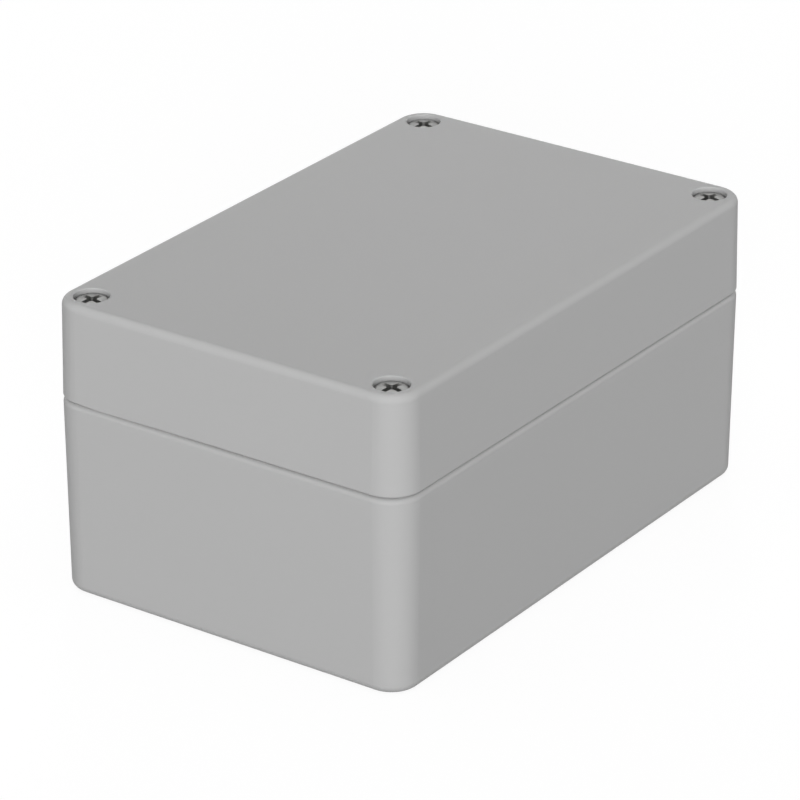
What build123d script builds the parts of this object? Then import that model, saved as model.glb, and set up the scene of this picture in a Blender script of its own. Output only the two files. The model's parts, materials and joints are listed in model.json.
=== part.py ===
from build123d import *
import os
from math import radians, tan

# Polycarbonate enclosure: a drafted base tub and a lid, parted two thirds of the way up.
# Millimetres. X runs along the length, Y across the width, Z up from the middle of the bottom face.
# Front is -Y and left is -X.

# Outside of the closed box, at the parting line
length = 120.0
width = 80.0
height = 60.0
lid_height = 20.0
corner_radius = 6.3
base_draft = 0.65
lid_draft = 1.0
lid_edge_radius = 1.55
lid_rim_chamfer = 0.25
base_edge_radius = 1.65
rim_radius = 1.2

# Mouldings
wall = 3.0
floor = 3.5
lid_top = 3.0
rim_gap = 0.25

# Seal: a tongue along the base's inner edge presses into a cord that lies in the lid's groove
tongue_width = 1.2
tongue_height = 1.5
seal_corner = 3.0
seal_width = 1.7
seal_thickness = 1.6
groove_clearance = 0.1
groove_lip = 0.7
well_wall = 2.0

# Wall fixing: a well outside the seal line in each corner, with a hole through its floor
fixing_hole = 4.5
fixing_floor = 4.5
well_size = 8.2
well_corner = 2.0
well_margin = 0.4
column_wall = 2.1

# Lid screws, captive in the lid: head, waisted shank, thread
screw_inset = 6.0
head_depth = 1.3
head_diameter = 6.4
head_height = 2.6
head_gap = 0.25
seat_gap = 0.02
bore_chamfer = 0.15
waist_diameter = 3.2
thread_diameter = 3.9
thread_length = 8.0
thread_engagement = 5.9
shank_gap = 0.25
lid_column_wall = 2.0

# Cross recess in the screw heads
recess_span = 4.0
recess_width = 1.1
recess_depth = 1.7
recess_turn = 45.0

# Retaining washer on each screw's waist, and how far it lets the screw back out
washer_diameter = 6.2
washer_thickness = 1.0
washer_fit = 0.05
washer_gap = 0.3
screw_travel = 7.0
stop_gap = 0.1

# Brass insert set into each of the base's corner columns
insert_diameter = 5.6
insert_length = 6.5
insert_recess = 0.5
insert_fit = 0.1
pocket_relief = 1.5

# Bosses for a board on the base's floor
board_gap_x = 2.4
board_gap_y = 5.0
board_boss = 6.0
board_boss_height = 6.0
board_pilot = 2.5
board_pilot_depth = 7.5

# Upright board guides: pairs of ribs on both long walls
guide_pitch = 24.0
guide_count = 3
guide_slot = 1.8
guide_rib = 1.2
guide_depth = 1.6
guide_top_gap = 5.0

corners = {
    "front_left": (-1, -1),
    "front_right": (1, -1),
    "back_left": (-1, 1),
    "back_right": (1, 1),
}

# Levels and plan places worked out from the sizes above
parting = height - lid_height
lid_rim = parting + rim_gap / 2
base_rim = parting - rim_gap / 2
screw_x = length / 2 - screw_inset
screw_y = width / 2 - screw_inset
fixing_x = length / 2 - wall - well_margin - well_size / 2
fixing_y = screw_y - insert_diameter / 2 - column_wall - well_size / 2
tongue_top = base_rim + tongue_height
groove_top = tongue_top + seal_thickness
groove_width = seal_width + 2 * groove_clearance
groove_land = groove_width / 2 + groove_lip
seal_inset = wall - tongue_width / 2
seal_x = fixing_x - well_size / 2 - well_wall + tongue_width / 2
seal_y = fixing_y - well_size / 2 - well_wall + tongue_width / 2
head_top = height - head_depth
head_under = head_top - head_height
head_seat = head_under - seat_gap
insert_top = base_rim - insert_recess
insert_bottom = insert_top - insert_length
tip = insert_top - thread_engagement
thread_top = tip + thread_length
washer_bottom = thread_top + seat_gap
washer_top = washer_bottom + washer_thickness
washer_stop = washer_top + screw_travel + stop_gap
board_x = seal_x - tongue_width / 2 - board_gap_x - board_boss / 2
board_y = width / 2 - wall - board_gap_y - board_boss / 2


def upright(radius, low, high):
    """A cylinder standing on the Z axis between two levels."""
    return Pos(0, 0, low) * Cylinder(radius, high - low, align=(Align.CENTER, Align.CENTER, Align.MIN))


def at_corners(shape, x, y):
    """The shape repeated at the four places (x, y), (-x, y) and so on."""
    return [Pos(x * sx, y * sy, 0) * shape for sx, sy in corners.values()]


def outline(inset=0):
    """The box's outside in plan at the parting, or a like shape a given distance inside it."""
    return RectangleRounded(length - 2 * inset, width - 2 * inset, corner_radius - inset)


def seal_line():
    """What the seal's centre line encloses: it steps in round the well in each corner."""
    along = Rectangle(length - 2 * seal_inset, 2 * seal_y)
    across = Rectangle(2 * seal_x, width - 2 * seal_inset)
    area = along + across
    return fillet(area.vertices(), seal_corner)


def seal_ring(ring_width, low, high):
    """A band of the given width that follows the seal's centre line."""
    band = offset(seal_line(), ring_width / 2) - offset(seal_line(), -ring_width / 2)
    return extrude(Pos(0, 0, low) * band, high - low)


def core(inset, low, high):
    """The space that a main core leaves, its sides a given distance inside the seal's centre line."""
    return extrude(Pos(0, 0, low) * offset(seal_line(), -inset), high - low)


def drafted(area, rim, end, draft):
    """A body with the plan area(0) at its rim, which narrows by the draft angle as far as its end."""
    loss = abs(end - rim) * tan(radians(draft))
    return loft([Pos(0, 0, rim) * area(0), Pos(0, 0, end) * area(loss)], ruled=True)


def pocket(size_x, size_y, low, high):
    return extrude(Pos(0, 0, low) * RectangleRounded(size_x, size_y, well_corner), high - low)


def guides():
    """Pairs of upright ribs on both long walls, each pair a slot for a board's edge."""
    rib = Box(
        guide_rib,
        guide_depth + wall / 2,
        base_rim - guide_top_gap - floor / 2,
        align=(Align.CENTER, Align.MAX, Align.MIN),
    )
    ribs = []
    for number in range(guide_count):
        middle = (number - (guide_count - 1) / 2) * guide_pitch
        for side in (-1, 1):
            x = middle + side * (guide_slot + guide_rib) / 2
            y = width / 2 - wall / 2
            ribs.append(Pos(x, y, floor / 2) * rib)
            ribs.append(Pos(x, guide_depth + wall / 2 - y, floor / 2) * rib)
    return ribs


def base_shell():
    block = drafted(outline, base_rim, 0, base_draft)
    block = fillet(block.faces().sort_by(Axis.Z)[0].edges(), base_edge_radius)
    block = fillet(block.faces().sort_by(Axis.Z)[-1].edges(), rim_radius)
    block += seal_ring(tongue_width, floor, tongue_top)
    block -= core(tongue_width / 2, floor, tongue_top)
    block += guides()

    well = pocket(well_size, well_size, fixing_floor, base_rim)
    well += upright(fixing_hole / 2, 0, fixing_floor)
    block -= at_corners(well, fixing_x, fixing_y)
    block -= at_corners(upright(insert_diameter / 2, insert_bottom - pocket_relief, base_rim), screw_x, screw_y)

    boss_top = floor + board_boss_height
    block += at_corners(upright(board_boss / 2, floor, boss_top), board_x, board_y)
    return block - at_corners(upright(board_pilot / 2, boss_top - board_pilot_depth, boss_top), board_x, board_y)


def screw_channel():
    """The stepped way down through the lid: room for the head, the shank, then the washer's travel."""
    head_bore = head_diameter / 2 + head_gap
    channel = upright(head_bore, head_seat, height)
    channel += Pos(0, 0, height - bore_chamfer) * Cone(
        head_bore, head_bore + bore_chamfer, bore_chamfer, align=(Align.CENTER, Align.CENTER, Align.MIN)
    )
    channel += upright(thread_diameter / 2 + shank_gap, washer_stop, head_seat)
    return channel + upright(washer_diameter / 2 + washer_gap, lid_rim, washer_stop)


def lid_shell():
    block = drafted(outline, lid_rim, height, lid_draft)
    block = fillet(block.faces().sort_by(Axis.Z)[-1].edges(), lid_edge_radius)
    block = chamfer(block.faces().sort_by(Axis.Z)[0].edges(), lid_rim_chamfer)
    block -= core(groove_land, lid_rim, height - lid_top)
    block -= seal_ring(groove_width, lid_rim, groove_top)

    column_radius = head_diameter / 2 + head_gap + lid_column_wall
    near_x = seal_x + groove_land
    far_x = length / 2 - seal_inset - groove_land
    near_y = seal_y + groove_land
    far_y = screw_y - column_radius
    corner_pocket = pocket(far_x - near_x, far_y - near_y, lid_rim, height - lid_top)
    block -= at_corners(corner_pocket, (near_x + far_x) / 2, (near_y + far_y) / 2)
    return block - at_corners(screw_channel(), screw_x, screw_y)


def lid_seal():
    """The cord, one closed loop, pressed flat by the tongue."""
    return seal_ring(seal_width, tongue_top, groove_top)


def lid_screw():
    head = upright(head_diameter / 2, head_under, head_top)
    cross = Rectangle(recess_span, recess_width) + Rectangle(recess_width, recess_span)
    recess = extrude(Pos(0, 0, head_top) * Rot(0, 0, recess_turn) * cross, -recess_depth)
    shank = upright(waist_diameter / 2, thread_top, head_under) + upright(thread_diameter / 2, tip, thread_top)
    return head - recess + shank


def screw_washer():
    ring = upright(washer_diameter / 2, washer_bottom, washer_top)
    return ring - upright(waist_diameter / 2 + washer_fit, washer_bottom, washer_top)


def threaded_insert():
    bush = upright(insert_diameter / 2, insert_bottom, insert_top)
    return bush - upright(thread_diameter / 2 + insert_fit, insert_bottom, insert_top)


def write(name, shape):
    solid = shape.solid()
    solid.label = name
    export_step(solid, f"parts/{name}.step")
    box = solid.bounding_box().size
    print(f"{name}: {solid.volume:.1f} mm3, {box.X:.2f} x {box.Y:.2f} x {box.Z:.2f} mm")


os.makedirs("parts", exist_ok=True)

write("base_shell", base_shell())
write("lid_shell", lid_shell())
write("lid_seal", lid_seal())

fastenings = {
    "lid_screw": lid_screw(),
    "screw_washer": screw_washer(),
    "threaded_insert": threaded_insert(),
}
for corner, (side_x, side_y) in corners.items():
    place = Pos(side_x * screw_x, side_y * screw_y, 0)
    for name, fastening in fastenings.items():
        write(f"{name}_{corner}", place * fastening)
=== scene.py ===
import json
from math import cos, pi, radians, sin

import bpy
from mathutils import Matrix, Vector


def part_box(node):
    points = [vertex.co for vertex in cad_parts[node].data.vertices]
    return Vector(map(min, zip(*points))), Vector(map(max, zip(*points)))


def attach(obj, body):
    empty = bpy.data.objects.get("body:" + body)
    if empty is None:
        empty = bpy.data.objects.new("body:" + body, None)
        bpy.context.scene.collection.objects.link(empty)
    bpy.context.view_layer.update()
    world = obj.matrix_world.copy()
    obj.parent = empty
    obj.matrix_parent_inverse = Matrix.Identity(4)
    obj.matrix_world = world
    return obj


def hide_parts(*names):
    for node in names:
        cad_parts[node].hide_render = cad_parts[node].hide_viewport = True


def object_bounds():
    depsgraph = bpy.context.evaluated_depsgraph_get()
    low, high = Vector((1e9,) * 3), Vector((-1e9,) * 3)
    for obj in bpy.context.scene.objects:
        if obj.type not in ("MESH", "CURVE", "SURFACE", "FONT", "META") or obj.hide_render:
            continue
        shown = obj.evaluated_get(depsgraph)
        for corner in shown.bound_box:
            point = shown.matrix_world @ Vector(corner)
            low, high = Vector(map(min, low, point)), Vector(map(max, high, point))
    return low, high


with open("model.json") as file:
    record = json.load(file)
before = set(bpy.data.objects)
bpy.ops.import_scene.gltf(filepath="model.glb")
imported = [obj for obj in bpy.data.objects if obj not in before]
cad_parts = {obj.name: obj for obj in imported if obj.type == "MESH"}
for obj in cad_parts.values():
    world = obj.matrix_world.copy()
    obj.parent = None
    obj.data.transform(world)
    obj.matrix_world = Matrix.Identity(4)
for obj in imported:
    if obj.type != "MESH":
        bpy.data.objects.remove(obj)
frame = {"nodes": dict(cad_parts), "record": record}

# A light grey polycarbonate enclosure: its finishes, threaded fastenings, sealing cord and a plain studio.
# Metres. The frame's solids hold every size that two pieces share.

mm = 0.001
cad_low, cad_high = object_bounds()
corners = ("front_left", "front_right", "back_left", "back_right")
bpy.ops.object.select_all(action="DESELECT")

# Sizes of the fastenings that the frame's plain solids don't show
thread_pitch = 0.7 * mm
thread_crest = 1.93 * mm
thread_root = 1.58 * mm
thread_crest_width = 0.1 * mm
thread_root_width = 0.62 * mm
thread_length = 8.0 * mm
thread_chamfer = 0.45 * mm
thread_sides = 32
rib_sunk = 0.06 * mm
waist_radius = 1.6 * mm
waist_into_thread = 0.2 * mm
waist_into_head = 0.1 * mm
head_height = 2.6 * mm
head_round = 0.5 * mm
head_round_segments = 8
head_edge = 0.15 * mm
head_edge_segments = 2
head_dome = 0.12 * mm
dome_rings = 4
head_sides = 72
recess_span = 4.5 * mm
recess_width = 1.1 * mm
recess_depth = 1.6 * mm
recess_taper = 0.66
recess_turn = radians(80)
pit_radius = 1.05 * mm
pit_drop = 0.3 * mm
pit_taper = 0.55
pit_sides = 24
cut_over = 0.2 * mm

# The brass inserts: knurled bands with a groove between them, and a thread inside that the screws mesh with
insert_crest = 1.70 * mm
insert_root = 2.03 * mm
insert_root_width = 0.56 * mm
insert_crest_width = 0.12 * mm
insert_teeth = 40
insert_tooth_depth = 0.18 * mm
insert_valley_reach = 0.1
insert_groove_depth = 0.4 * mm
insert_groove_width = 1.5 * mm
insert_groove_slope = 0.2 * mm
insert_lead_in = 0.35 * mm
insert_lead_gap = 0.02 * mm
insert_lead_taper = 0.75

# How near a level or a circle counts as on it, and the angle past which an edge is shaded as sharp
on_face = 0.001 * mm
on_edge = 0.02 * mm
on_circle_share = 0.01
between_rings = 0.05 * mm
sharp_angle = radians(32)


def activate(piece):
    """Leaves the piece selected by itself and active."""
    if bpy.context.mode != "OBJECT":
        bpy.ops.object.mode_set(mode="OBJECT")
    bpy.ops.object.select_all(action="DESELECT")
    piece.select_set(True)
    bpy.context.view_layer.objects.active = piece


def apply_place(piece):
    activate(piece)
    bpy.ops.object.transform_apply(location=True, rotation=True, scale=True)


def pick(piece, kind, rule):
    """Selects only the vertices, edges or faces whose middle meets the rule, and stays in edit mode."""
    activate(piece)
    kinds = ("VERT", "EDGE", "FACE")
    bpy.context.tool_settings.mesh_select_mode = [kind == each for each in kinds]
    mesh = piece.data
    for parts in (mesh.vertices, mesh.edges, mesh.polygons):
        parts.foreach_set("select", [False] * len(parts))
    if kind == "VERT":
        for vertex in mesh.vertices:
            vertex.select = rule(vertex.co)
    elif kind == "EDGE":
        for edge in mesh.edges:
            first, last = edge.vertices
            edge.select = rule((mesh.vertices[first].co + mesh.vertices[last].co) / 2)
    else:
        for face in mesh.polygons:
            face.select = rule(face.center)
    bpy.ops.object.mode_set(mode="EDIT")


def leave_edit():
    bpy.ops.object.mode_set(mode="OBJECT")


def cylinder(name, radius, low, high, sides):
    """A closed upright cylinder on the Z axis."""
    middle = (0, 0, (low + high) / 2)
    bpy.ops.mesh.primitive_cylinder_add(vertices=sides, radius=radius, depth=high - low, location=middle)
    piece = bpy.context.object
    piece.name = name
    apply_place(piece)
    return piece


def combine(piece, other, operation):
    """Joins, cuts or trims the piece with another, which is used up."""
    modifier = piece.modifiers.new("combine", "BOOLEAN")
    modifier.operation = operation
    modifier.solver = "EXACT"
    modifier.object = other
    activate(piece)
    bpy.ops.object.modifier_apply(modifier="combine")
    if not piece.data.polygons:
        raise RuntimeError(f"nothing is left of {piece.name}")
    activate(other)
    bpy.ops.object.delete()


def bevel_ring(piece, radius, level, width, segments):
    """Bevels the sharp circle of the given radius at the given level."""

    def on_circle(point):
        off_circle = abs(point.xy.length - radius)
        return abs(point.z - level) < on_edge and off_circle < on_circle_share * radius

    pick(piece, "EDGE", on_circle)
    bpy.ops.mesh.bevel(offset=width, segments=segments)
    leave_edit()


def helical_rib(name, radii, widths, levels, phase_level):
    """A thread's rib, in step with a turn that starts on +X at the phase level, cut off square later.

    The radii and the widths are those of its inner and its outer side.
    """
    inner, outer = radii
    inner_width, outer_width = widths
    low, high = levels
    turns_before = int((phase_level - low) / thread_pitch) + 2
    start = phase_level - turns_before * thread_pitch
    turns = int((high - start) / thread_pitch) + 2
    bpy.ops.mesh.primitive_plane_add(size=1, rotation=(pi / 2, 0, 0))
    rib = bpy.context.object
    rib.name = name
    apply_place(rib)
    middle = Vector(((inner + outer) / 2, 0, start))
    pick(rib, "VERT", lambda point: True)
    bpy.ops.transform.resize(value=(outer - inner, 1, inner_width), center_override=(0, 0, 0))
    bpy.ops.transform.translate(value=middle)
    bpy.ops.mesh.delete(type="ONLY_FACE")
    pick(rib, "VERT", lambda point: point.x > middle.x)
    bpy.ops.transform.resize(value=(1, 1, outer_width / inner_width), center_override=middle)
    leave_edit()
    modifier = rib.modifiers.new("helix", "SCREW")
    modifier.angle = 2 * pi
    modifier.screw_offset = thread_pitch
    modifier.iterations = turns
    modifier.steps = thread_sides
    modifier.render_steps = thread_sides
    activate(rib)
    bpy.ops.object.modifier_apply(modifier="helix")
    pick(rib, "VERT", lambda point: True)
    bpy.ops.mesh.fill_holes(sides=4)
    bpy.ops.mesh.normals_make_consistent(inside=False)
    leave_edit()
    return rib


def crown_face(piece, radius, level, rise, rings):
    """Domes a flat round top by insetting it ring by ring, each a little higher."""
    pick(piece, "FACE", lambda point: abs(point.z - level) < on_face)
    step = radius / (rings + 1)
    for ring in range(1, rings + 1):
        outer = 1 - (ring - 1) / (rings + 1)
        inner = 1 - ring / (rings + 1)
        bpy.ops.mesh.inset(thickness=step)
        bpy.ops.transform.translate(value=(0, 0, rise * (outer ** 2 - inner ** 2)))
    leave_edit()


def recess_arm(top, turn):
    """One tapered arm of the cross recess, as a block to cut with."""
    size = (recess_span, recess_width, recess_depth + cut_over)
    bpy.ops.mesh.primitive_cube_add(size=1)
    arm = bpy.context.object
    pick(arm, "VERT", lambda point: True)
    bpy.ops.transform.resize(value=size, center_override=(0, 0, 0))
    bpy.ops.transform.translate(value=(0, 0, top - recess_depth / 2 + cut_over / 2))
    pick(arm, "VERT", lambda point: point.z < top - recess_depth / 2)
    bpy.ops.transform.resize(value=(recess_taper, recess_taper, 1), center_override=(0, 0, top))
    leave_edit()
    arm.rotation_euler.z = turn
    apply_place(arm)
    return arm


def model_screw(low, high):
    """A captive M4 lid screw on the Z axis: rounded pan head, cross recess, waist and a true thread."""
    head_radius = (high.x - low.x) / 2
    under = high.z - head_height
    thread_top = low.z + thread_length

    shoulder = high.z + head_round
    crown = shoulder + head_dome
    screw = cylinder("screw", head_radius, under, shoulder, head_sides)
    bevel_ring(screw, head_radius, shoulder, head_round, head_round_segments)
    bevel_ring(screw, head_radius, under, head_edge, head_edge_segments)
    crown_face(screw, head_radius - head_round, shoulder, head_dome, dome_rings)
    for turn in (0, pi / 2):
        combine(screw, recess_arm(crown, recess_turn + turn), "DIFFERENCE")
    pit = cylinder("pit", pit_radius, crown - recess_depth - pit_drop, crown + cut_over, pit_sides)
    pick(pit, "VERT", lambda point: point.z < crown - recess_depth)
    bpy.ops.transform.resize(value=(pit_taper, pit_taper, 1), center_override=(0, 0, crown))
    leave_edit()
    combine(screw, pit, "DIFFERENCE")

    waist_low = thread_top - waist_into_thread
    waist = cylinder("waist", waist_radius, waist_low, under + waist_into_head, thread_sides * 2)
    combine(screw, waist, "UNION")

    below = low.z - thread_pitch
    above = thread_top + thread_pitch
    thread = cylinder("thread", thread_root, below, above, thread_sides)
    radii = (thread_root - rib_sunk, thread_crest)
    widths = (thread_root_width, thread_crest_width)
    rib = helical_rib("rib", radii, widths, (below, above), low.z)
    combine(thread, rib, "UNION")
    trim_radius = thread_crest + rib_sunk
    trim = cylinder("trim", trim_radius, low.z, thread_top, thread_sides)
    bevel_ring(trim, trim_radius, low.z, thread_chamfer, 1)
    bevel_ring(trim, trim_radius, thread_top, thread_chamfer, 1)
    combine(thread, trim, "INTERSECT")
    combine(screw, thread, "UNION")
    return screw


def model_insert(low, high, phase_level):
    """A brass insert on the Z axis: two knurled bands, a groove between, and a thread for the screw."""
    radius = (high.x - low.x) / 2
    middle = (low.z + high.z) / 2
    insert = cylinder("insert", radius, low.z, high.z, insert_teeth * 2)
    groove_half = insert_groove_width / 2
    floor_half = groove_half - insert_groove_slope
    levels = (middle - groove_half, middle - floor_half, middle + floor_half, middle + groove_half)
    pick(insert, "EDGE", lambda point: abs(point.z - middle) < between_rings)
    bpy.ops.mesh.subdivide(number_cuts=len(levels))
    step = (high.z - low.z) / (len(levels) + 1)
    for number, level in enumerate(levels, 1):
        was = low.z + number * step
        pick(insert, "VERT", lambda point: abs(point.z - was) < between_rings)
        bpy.ops.transform.translate(value=(0, 0, level - was))
    in_groove = radius - insert_groove_depth
    shrink = in_groove / radius
    pick(insert, "VERT", lambda point: abs(point.z - middle) < floor_half + between_rings)
    bpy.ops.transform.resize(value=(shrink, shrink, 1), center_override=(0, 0, 0))
    tooth = 2 * pi / insert_teeth

    def in_valley(point):
        turned = point.xy.angle_signed(Vector((1, 0))) / tooth % 1
        return point.xy.length > in_groove + on_edge and abs(turned - 0.5) < insert_valley_reach

    pick(insert, "VERT", in_valley)
    valley = (radius - insert_tooth_depth) / radius
    bpy.ops.transform.resize(value=(valley, valley, 1), center_override=(0, 0, 0))
    leave_edit()

    lead_radius = insert_root + insert_lead_gap
    lead_low = high.z - insert_lead_in
    lead = cylinder("lead", lead_radius, lead_low, high.z + insert_lead_in, thread_sides * 2)
    pick(lead, "VERT", lambda point: point.z < high.z)
    taper = (insert_lead_taper, insert_lead_taper, 1)
    bpy.ops.transform.resize(value=taper, center_override=(0, 0, high.z))
    leave_edit()
    combine(insert, lead, "DIFFERENCE")

    below = low.z - thread_pitch
    above = high.z + thread_pitch
    tap = cylinder("tap", insert_crest, below, above, thread_sides)
    radii = (insert_crest - rib_sunk, insert_root)
    widths = (insert_root_width, insert_crest_width)
    rib = helical_rib("tap_rib", radii, widths, (below, above), phase_level)
    combine(tap, rib, "UNION")
    combine(insert, tap, "DIFFERENCE")
    return insert


def smooth(piece):
    activate(piece)
    bpy.ops.object.shade_smooth_by_angle(angle=sharp_angle)


def copy_to(piece, name, place):
    """A copy of the piece with its own mesh, moved sideways to the place."""
    activate(piece)
    bpy.ops.object.duplicate()
    copy = bpy.context.object
    copy.name = name
    copy.data.name = name
    copy.location = (place.x, place.y, 0)
    apply_place(copy)
    return copy


def centred(node):
    """A node's box, moved so that its middle is on the Z axis, and where that middle was."""
    low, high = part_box(node)
    place = (low + high) / 2
    place.z = 0
    return low - place, high - place, place


def fastenings():
    """The four lid screws and the four inserts that they turn in."""
    made = []
    screw_low, screw_high, place = centred("lid_screw_front_left")
    insert_low, insert_high, place = centred("threaded_insert_front_left")
    screw = model_screw(screw_low, screw_high)
    insert = model_insert(insert_low, insert_high, screw_low.z)
    for corner in corners:
        place = centred(f"lid_screw_{corner}")[2]
        copy = copy_to(screw, f"cross_recess_screw_{corner}", place)
        made.append(("stainless", copy, f"screw_{corner}", f"lid_screw_{corner}"))
        copy = copy_to(insert, f"knurled_insert_{corner}", place)
        made.append(("brass", copy, "base", f"threaded_insert_{corner}"))
    for master in (screw, insert):
        activate(master)
        bpy.ops.object.delete()
    return made


# Finishes

surface_outputs = {"Colour": "Color", "Roughness": "Float", "Normal": "Vector"}

# How many noise cells to a metre, and how far the metal's rings wander, as an angle in their wave
tone_cells = 28.0
wobble_cells = 900.0
wobble_angle = 2.5


def grey(tone):
    return (tone, tone, tone, 1)


def new_group(name, colours, numbers):
    """A shader node group with the given inputs, which gives a colour, a roughness and a normal."""
    group = bpy.data.node_groups.new(name, "ShaderNodeTree")
    for values, kind in ((colours, "Color"), (numbers, "Float")):
        for label, value in values.items():
            socket = group.interface.new_socket(name=label, in_out="INPUT", socket_type=f"NodeSocket{kind}")
            socket.default_value = value
    for label, kind in surface_outputs.items():
        group.interface.new_socket(name=label, in_out="OUTPUT", socket_type=f"NodeSocket{kind}")
    given = group.nodes.new("NodeGroupInput").outputs
    results = group.nodes.new("NodeGroupOutput").inputs
    return group, given, results


def node(tree, kind, inputs=(), **settings):
    """A node with its settings, and its inputs set or linked by name or number."""
    made = tree.nodes.new(f"ShaderNode{kind}")
    for key, value in settings.items():
        setattr(made, key, value)
    for key, value in dict(inputs).items():
        if isinstance(value, bpy.types.NodeSocket):
            tree.links.new(value, made.inputs[key])
        else:
            made.inputs[key].default_value = value
    return made


def calc(tree, operation, *values):
    """The result of one step of arithmetic on numbers or on other nodes' outputs."""
    return node(tree, "Math", enumerate(values), operation=operation).outputs[0]


def moulded_skin():
    """Plastic or rubber from a spark-eroded mould: faint drifts of tone, and a fine even grain."""
    numbers = {
        "Tone Drift": 0.02,
        "Roughness": 0.5,
        "Roughness Drift": 0.04,
        "Grain Size": 0.3 * mm,
        "Grain Depth": 0.01 * mm,
    }
    group, given, results = new_group("moulded_skin", {"Colour": grey(0.5)}, numbers)
    place = node(group, "TexCoord").outputs["Object"]
    slow = {"Vector": place, "Scale": tone_cells, "Detail": 2.0}
    drift = node(group, "TexNoise", slow).outputs["Fac"]
    scale = calc(group, "DIVIDE", 1.0, given["Grain Size"])
    speckle = {"Vector": place, "Scale": scale, "Detail": 1.5, "Roughness": 0.6}
    grain = node(group, "TexNoise", speckle).outputs["Fac"]
    cells = node(group, "TexVoronoi", {"Vector": place, "Scale": scale}, feature="SMOOTH_F1")

    tone = calc(group, "MULTIPLY_ADD", calc(group, "SUBTRACT", drift, 0.5), given["Tone Drift"], 1.0)
    colour = node(group, "VectorMath", {0: given["Colour"], "Scale": tone}, operation="SCALE").outputs[0]
    off_middle = calc(group, "SUBTRACT", grain, 0.5)
    rough = calc(group, "MULTIPLY_ADD", off_middle, given["Roughness Drift"], given["Roughness"])
    height = calc(group, "ADD", grain, cells.outputs["Distance"])
    relief = {"Strength": 1.0, "Distance": given["Grain Depth"], "Height": height}
    group.links.new(colour, results["Colour"])
    group.links.new(rough, results["Roughness"])
    group.links.new(node(group, "Bump", relief).outputs[0], results["Normal"])
    return group


def turned_metal():
    """Metal turned or rolled about an upright axis in each corner: fine rings, and a blotchy dullness."""
    colours = {"Bright": grey(0.6), "Dull": grey(0.3)}
    numbers = {
        "Corner X": 0.054,
        "Corner Y": 0.034,
        "Ring Pitch": 0.2 * mm,
        "Ring Depth": 0.004 * mm,
        "Roughness": 0.3,
        "Roughness Spread": 0.15,
        "Blotch Size": 1.5 * mm,
    }
    group, given, results = new_group("turned_metal", colours, numbers)
    place = node(group, "TexCoord").outputs["Object"]
    folded = node(group, "VectorMath", {0: place}, operation="ABSOLUTE").outputs[0]
    corner = node(group, "CombineXYZ", {"X": given["Corner X"], "Y": given["Corner Y"]}).outputs[0]
    local = node(group, "VectorMath", {0: folded, 1: corner}, operation="SUBTRACT").outputs[0]
    parts = node(group, "SeparateXYZ", {0: local}).outputs
    flat = node(group, "CombineXYZ", {"X": parts["X"], "Y": parts["Y"]}).outputs[0]
    reach = node(group, "VectorMath", {0: flat}, operation="LENGTH").outputs["Value"]
    wander = {"Vector": place, "Scale": wobble_cells, "Detail": 1.0}
    wobble = node(group, "TexNoise", wander).outputs["Fac"]
    turns = calc(group, "DIVIDE", reach, given["Ring Pitch"])
    phase = calc(group, "MULTIPLY_ADD", wobble, wobble_angle, calc(group, "MULTIPLY", turns, 2 * pi))
    rings = calc(group, "SINE", phase)

    scale = calc(group, "DIVIDE", 1.0, given["Blotch Size"])
    blotch = node(group, "TexNoise", {"Vector": place, "Scale": scale, "Detail": 4.0}).outputs["Fac"]
    tones = {"Factor": blotch, "A": given["Dull"], "B": given["Bright"]}
    colour = node(group, "Mix", tones, data_type="RGBA").outputs["Result"]
    off_middle = calc(group, "SUBTRACT", blotch, 0.5)
    rough = calc(group, "MULTIPLY_ADD", off_middle, given["Roughness Spread"], given["Roughness"])
    relief = {"Strength": 1.0, "Distance": given["Ring Depth"], "Height": rings}
    group.links.new(colour, results["Colour"])
    group.links.new(rough, results["Roughness"])
    group.links.new(node(group, "Bump", relief).outputs[0], results["Normal"])
    return group


def finish(name, group, values, metallic=0.0, ior=1.5, specular=0.5):
    """A material whose colour, roughness and relief come from a shared group, with its own values."""
    material = bpy.data.materials.new(name)
    material.use_nodes = True
    tree = material.node_tree
    shader = tree.nodes["Principled BSDF"]
    shader.inputs["Metallic"].default_value = metallic
    shader.inputs["IOR"].default_value = ior
    shader.inputs["Specular IOR Level"].default_value = specular
    skin = node(tree, "Group", node_tree=group)
    for label, value in values.items():
        skin.inputs[label].default_value = value
    tree.links.new(skin.outputs["Colour"], shader.inputs["Base Color"])
    tree.links.new(skin.outputs["Roughness"], shader.inputs["Roughness"])
    tree.links.new(skin.outputs["Normal"], shader.inputs["Normal"])
    return material


def coat(piece, material):
    piece.data.materials.clear()
    piece.data.materials.append(material)


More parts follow.
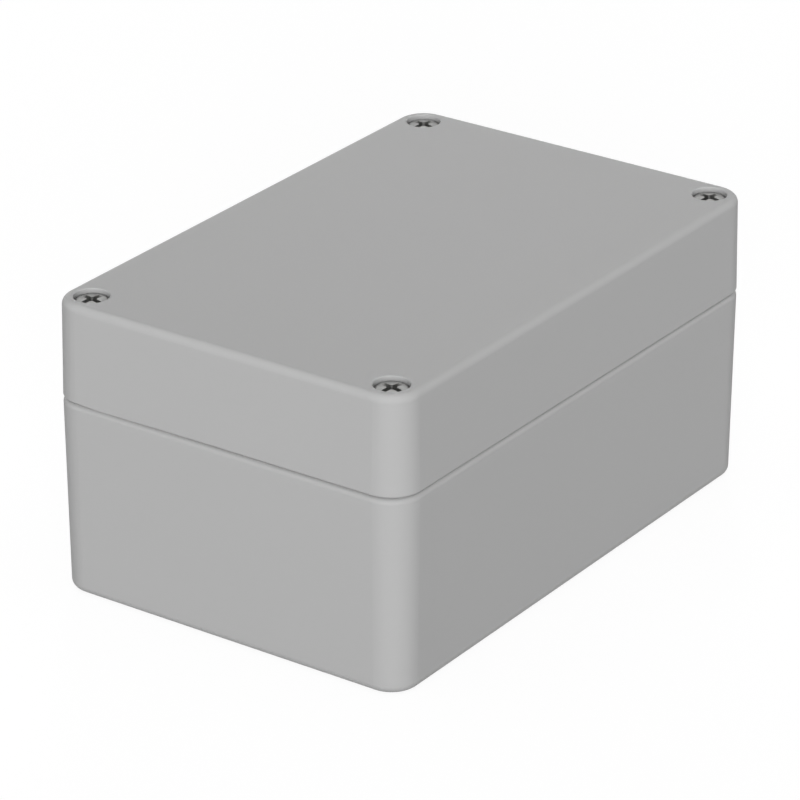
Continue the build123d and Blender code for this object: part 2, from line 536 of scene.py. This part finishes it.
def make_finishes():
    """Each finish under the name of its material slot."""
    moulded = moulded_skin()
    turned = turned_metal()
    polycarbonate = {
        "Colour": grey(0.39),
        "Tone Drift": 0.02,
        "Roughness": 0.36,
        "Roughness Drift": 0.05,
        "Grain Size": 0.22 * mm,
        "Grain Depth": 0.002 * mm,
    }
    silicone = {
        "Colour": (0.035, 0.036, 0.038, 1),
        "Tone Drift": 0.1,
        "Roughness": 0.62,
        "Roughness Drift": 0.1,
        "Grain Size": 0.3 * mm,
        "Grain Depth": 0.01 * mm,
    }
    nylon = {
        "Colour": (0.78, 0.76, 0.70, 1),
        "Tone Drift": 0.05,
        "Roughness": 0.38,
        "Roughness Drift": 0.08,
        "Grain Size": 0.15 * mm,
        "Grain Depth": 0.003 * mm,
    }
    stainless = {
        "Bright": (0.46, 0.46, 0.451, 1),
        "Dull": (0.18, 0.18, 0.176, 1),
        "Ring Pitch": 0.18 * mm,
        "Ring Depth": 0.002 * mm,
        "Roughness": 0.34,
        "Roughness Spread": 0.2,
        "Blotch Size": 0.9 * mm,
    }
    brass = {
        "Bright": (0.76, 0.56, 0.25, 1),
        "Dull": (0.48, 0.33, 0.14, 1),
        "Ring Pitch": 0.25 * mm,
        "Ring Depth": 0.004 * mm,
        "Roughness": 0.32,
        "Roughness Spread": 0.2,
        "Blotch Size": 1.2 * mm,
    }
    return {
        "polycarbonate": finish("light_grey_polycarbonate", moulded, polycarbonate, ior=1.58, specular=0.22),
        "silicone": finish("dark_silicone_cord", moulded, silicone, ior=1.41),
        "nylon": finish("natural_nylon", moulded, nylon, ior=1.53),
        "stainless": finish("turned_stainless", turned, stainless, metallic=1.0),
        "brass": finish("turned_brass", turned, brass, metallic=1.0),
    }


# Studio

view_azimuth = radians(-55.0)
view_elevation = radians(25.0)
view_distance = 0.8609
view_focal_pixels = 4455.8
picture_pixels = 800
sensor_width = 36.0
aim_right = -1.664 * mm
aim_up = -2.645 * mm
horizon_level = 1.93
wall_top = 0.5
floor_tone = 0.10
floor_mirror = 0.45
floor_shadow_tone = 0.12
floor_size = 8.0

# The distant lamps: azimuth, elevation, strength, softness as the angle that the lamp fills, and gloss
lamps = {
    "key": (radians(-56.0), radians(10.0), 3.0, radians(30.0), False),
    "overhead": (radians(-55.0), radians(90.0), 1.25, radians(80.0), True),
    "fill": (radians(125.0), radians(8.0), 1.3, radians(16.0), False),
}


def direction(azimuth, elevation):
    """The way towards something seen at an azimuth, from 0 on -Y round by +X, and an elevation."""
    return Vector((sin(azimuth) * cos(elevation), -cos(azimuth) * cos(elevation), sin(elevation)))


def add_camera():
    back = direction(view_azimuth, view_elevation)
    right = Vector((cos(view_azimuth), sin(view_azimuth), 0))
    up = back.cross(right)
    middle = (cad_low + cad_high) / 2
    bpy.ops.object.camera_add(location=middle + back * view_distance + right * aim_right + up * aim_up)
    camera = bpy.context.object
    camera.rotation_euler = back.to_track_quat("Z", "Y").to_euler()
    camera.data.sensor_width = sensor_width
    camera.data.lens = view_focal_pixels * sensor_width / picture_pixels
    camera.data.clip_start = 0.01
    camera.data.clip_end = 50
    bpy.context.scene.camera = camera


def seen_directly(tree, mirror=1.0):
    """1 for straight looks and looks through glass, a share for mirrored ones, 0 for scattered light."""
    path = node(tree, "LightPath").outputs
    mirrored = calc(tree, "MULTIPLY", path["Is Glossy Ray"], mirror)
    seen = calc(tree, "MAXIMUM", path["Is Camera Ray"], mirrored)
    return calc(tree, "MAXIMUM", seen, path["Is Transmission Ray"])


def light_on_floor():
    """How brightly white paper on the open floor would show, from the lamps and the room's walls."""
    lamps_on_floor = sum(
        strength * sin(elevation) / pi for azimuth, elevation, strength, softness, glossy in lamps.values()
    )
    return lamps_on_floor + horizon_level * wall_top ** 2 / 3


def add_floor():
    """A floor that is white where it is seen, but for its shadow, and darker as a source of light."""
    bpy.ops.mesh.primitive_plane_add(size=floor_size, location=(0, 0, cad_low.z))
    floor = bpy.context.object
    floor.name = "floor"
    material = bpy.data.materials.new("pale_floor")
    material.use_nodes = True
    tree = material.node_tree
    tree.nodes.clear()
    glow = 1.0 - floor_shadow_tone * light_on_floor()
    shade = node(tree, "BsdfDiffuse", {"Color": grey(floor_shadow_tone)})
    shine = node(tree, "Emission", {"Color": grey(1), "Strength": glow})
    shown = node(tree, "AddShader", {0: shade.outputs[0], 1: shine.outputs[0]})
    plain = node(tree, "BsdfDiffuse", {"Color": grey(floor_tone)})
    share = seen_directly(tree, floor_mirror)
    mix = node(tree, "MixShader", {0: share, 1: plain.outputs[0], 2: shown.outputs[0]})
    node(tree, "OutputMaterial", {"Surface": mix.outputs[0]})
    floor.data.materials.append(material)


def add_lamps():
    for name, (azimuth, elevation, strength, softness, glossy) in lamps.items():
        bpy.ops.object.light_add(type="SUN", location=(0, 0, 1))
        lamp = bpy.context.object
        lamp.name = name
        lamp.rotation_euler = direction(azimuth, elevation).to_track_quat("Z", "Y").to_euler()
        lamp.data.energy = strength
        lamp.data.angle = softness
        lamp.visible_glossy = glossy


def add_room():
    """White all round where it is seen; as a light, its walls are brighter than its ceiling."""
    world = bpy.data.worlds.new("studio")
    world.use_nodes = True
    bpy.context.scene.world = world
    tree = world.node_tree
    tree.nodes.clear()
    way = node(tree, "TexCoord").outputs["Generated"]
    up = node(tree, "SeparateXYZ", {0: way}).outputs["Z"]
    fall = {"Value": up, "From Max": wall_top, "To Min": horizon_level, "To Max": 0}
    lit = node(tree, "MapRange", fall).outputs[0]
    level = node(tree, "MapRange", {"Value": seen_directly(tree), "To Min": lit, "To Max": 1.0}).outputs[0]
    glow = node(tree, "Background", {"Color": grey(1), "Strength": level})
    node(tree, "OutputWorld", {"Surface": glow.outputs[0]})


add_camera()
add_lamps()
add_room()
add_floor()

finishes = make_finishes()
for slot, piece, body, replaced in fastenings():
    smooth(piece)
    coat(piece, finishes[slot])
    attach(piece, body)
    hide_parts(replaced)
for subpart in frame["record"]["subparts"]:
    coat(frame["nodes"][subpart["node"]], finishes[subpart["material_slot"]])

bpy.context.scene.view_settings.view_transform = "Standard"
